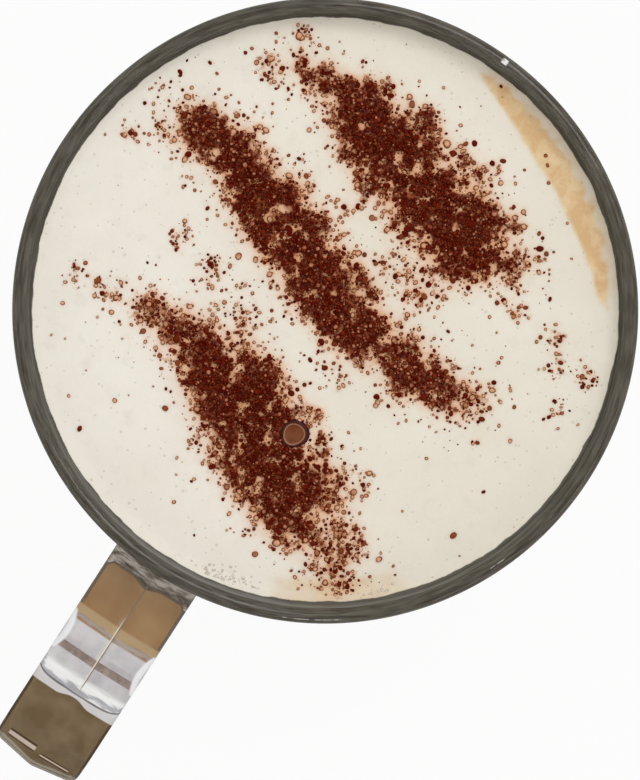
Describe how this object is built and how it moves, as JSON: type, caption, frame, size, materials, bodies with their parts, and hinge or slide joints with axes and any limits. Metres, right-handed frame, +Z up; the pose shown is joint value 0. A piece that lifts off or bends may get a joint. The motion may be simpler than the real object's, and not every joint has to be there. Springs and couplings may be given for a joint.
{
  "type": "mocha cappuccino in a glass mug",
  "caption": "Foamed milk coffee dusted with bands of cocoa powder, filled to near the brim of a clear glass mug with a closed handle.",
  "frame": {"origin": "on the mug's axis, in the plane that it stands on", "axes": "+Z up along the mug's axis; +X from the axis to the handle"},
  "size_m": [0.1128, 0.0798, 0.092],
  "materials": {
    "glass": "clear pressed glass, faint olive grey in the thickness",
    "coffee": "opaque milky coffee, glossy where wet against the glass",
    "foam": "dense off-white milk foam with fine pores"
  },
  "bodies": {
    "root": {"glass_mug": "glass", "coffee": "coffee", "milk_foam": "foam"}
  },
  "joints": []
}
